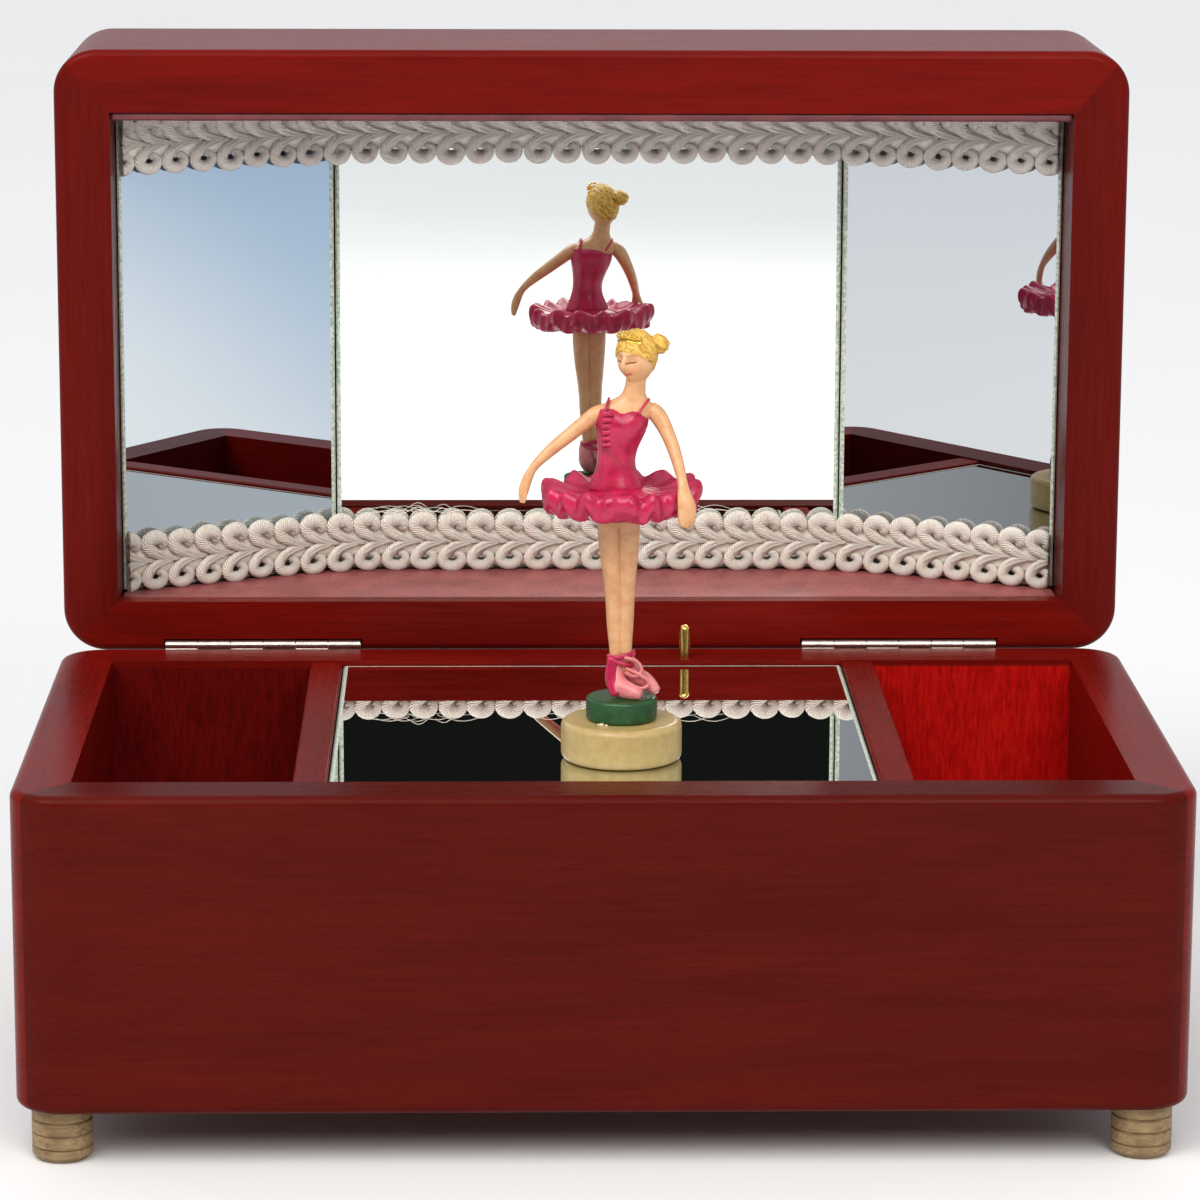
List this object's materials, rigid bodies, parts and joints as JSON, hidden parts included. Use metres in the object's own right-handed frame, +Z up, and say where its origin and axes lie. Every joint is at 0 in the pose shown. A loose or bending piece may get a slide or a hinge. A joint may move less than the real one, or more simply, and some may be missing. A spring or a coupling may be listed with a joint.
{
  "type": "wind-up music box",
  "caption": "Rectangular wooden jewellery box with a hinged mirrored lid, a wound musical movement and a dancer that glides and turns on a mirror plate.",
  "frame": {"origin": "on the ground, under the middle of the bounding box with the lid open", "axes": "+X to the viewer's right along the front, +Y to the back where the lid stands, +Z up"},
  "size_m": [0.2, 0.1568, 0.1781],
  "materials": {
    "stained_wood": "satin stained lacquer",
    "raw_panel": "stained plywood",
    "foot_wood": "turned plain wood",
    "mirror_glass": "silvered glass",
    "satin": "satin over padding",
    "braid": "silky woven braid",
    "nickel": "nickel plated",
    "steel": "plain steel",
    "brass": "polished",
    "casting": "die cast and painted",
    "white_plastic": "moulded",
    "cream_plastic": "moulded",
    "green_plastic": "painted",
    "figure_plastic": "moulded and painted",
    "magnet": "sintered"
  },
  "bodies": {
    "case": {"front_board": "stained_wood", "rear_board": "stained_wood", "left_board": "stained_wood", "right_board": "stained_wood", "bottom_panel": "raw_panel", "left_divider": "stained_wood", "right_divider": "stained_wood", "left_floor_pad": "satin", "right_floor_pad": "satin", "feet": "foot_wood", "plate_cleats": "raw_panel", "mirror_plate": "mirror_glass", "case_hinge_leaves": "nickel", "hinge_pins": "nickel", "bedplate": "casting", "movement_screws": "steel", "spring_housing": "brass", "mainspring": "steel", "bridge_plate": "casting", "bridge_pillars": "steel", "sun_gear": "white_plastic", "bearing_brackets": "casting", "comb": "steel", "comb_block": "raw_panel", "lever_bracket": "steel"},
    "winding_train": {"winding_key": "nickel", "winding_arbor": "steel", "great_wheel": "brass"},
    "turntable_arm": {"arm_shaft": "steel", "arm_pinion": "brass", "magnet_arm": "casting"},
    "magnet_planet": {"planet_gear": "white_plastic", "carrier_magnet": "magnet"},
    "dancer": {"dancer_disc": "cream_plastic", "disc_magnet": "magnet", "dancer_base": "green_plastic", "dancer_figure": "figure_plastic"},
    "tune_cylinder": {"pin_cylinder": "brass", "cylinder_gear": "brass"},
    "idler": {"idler_wheel": "white_plastic"},
    "governor": {"governor_worm": "steel", "governor_fan": "white_plastic"},
    "stop_pin": {"stop_pin": "brass"},
    "stop_lever": {"stop_lever": "steel"},
    "lid": {"lid_lower_rail": "stained_wood", "lid_upper_rail": "stained_wood", "lid_left_rail": "stained_wood", "lid_right_rail": "stained_wood", "lid_panel": "stained_wood", "centre_mirror": "mirror_glass", "left_mirror": "mirror_glass", "right_mirror": "mirror_glass", "lower_ledge": "satin", "upper_ledge": "satin", "lower_braid": "braid", "upper_braid": "braid", "lid_hinge_leaves": "nickel"}
  },
  "joints": [
    {"name": "winding_turn", "type": "hinge", "parent": "case", "child": "winding_train", "pos_m": [-0.021, -0.0223, 0.03], "axis": [0, 0, 1], "continuous": true},
    {"name": "lid_turn", "type": "hinge", "parent": "case", "child": "lid", "pos_m": [0, 0.0344, 0.0653], "axis": [1, 0, 0], "range_deg": [0, 90]},
    {"name": "arm_turn", "type": "hinge", "parent": "case", "child": "turntable_arm", "pos_m": [0, -0.0223, 0.045], "axis": [0, 0, 1], "continuous": true},
    {"name": "planet_turn", "type": "hinge", "parent": "turntable_arm", "child": "magnet_planet", "pos_m": [0.0034, -0.048, 0.057], "axis": [0, 0, 1], "continuous": true},
    {"name": "dancer_lift", "type": "slide", "parent": "magnet_planet", "child": "dancer", "axis": [0, 0, 1], "range_m": [0, 0.2437]},
    {"name": "cylinder_turn", "type": "hinge", "parent": "case", "child": "tune_cylinder", "pos_m": [-0.021, 0.0017, 0.03], "axis": [1, 0, 0], "continuous": true},
    {"name": "idler_turn", "type": "hinge", "parent": "case", "child": "idler", "pos_m": [-0.008, 0.0117, 0.03], "axis": [1, 0, 0], "continuous": true},
    {"name": "governor_turn", "type": "hinge", "parent": "case", "child": "governor", "pos_m": [-0.0067, -0.0023, 0.0398], "axis": [0, 1, 0], "continuous": true},
    {"name": "stop_pin_press", "type": "slide", "parent": "case", "child": "stop_pin", "axis": [0, 0, -1], "range_m": [0, 0.006]},
    {"name": "stop_lever_turn", "type": "hinge", "parent": "case", "child": "stop_lever", "pos_m": [0.01, 0.0137, 0.0422], "axis": [1, 0, 0], "range_deg": [-27.5, 0]}
  ],
  "couplings": [
    {"joint": "arm_turn", "follows": "winding_turn", "ratio": -2},
    {"joint": "planet_turn", "follows": "winding_turn", "ratio": -4},
    {"joint": "cylinder_turn", "follows": "winding_turn", "ratio": 1.5},
    {"joint": "idler_turn", "follows": "winding_turn", "ratio": -4.5},
    {"joint": "governor_turn", "follows": "winding_turn", "ratio": 45},
    {"joint": "dancer_lift", "follows": "lid_turn", "m_per_rad": 0.155},
    {"joint": "stop_pin_press", "follows": "lid_turn", "m_per_rad": 0.0038197},
    {"joint": "stop_lever_turn", "follows": "lid_turn", "ratio": -0.30556}
  ]
}
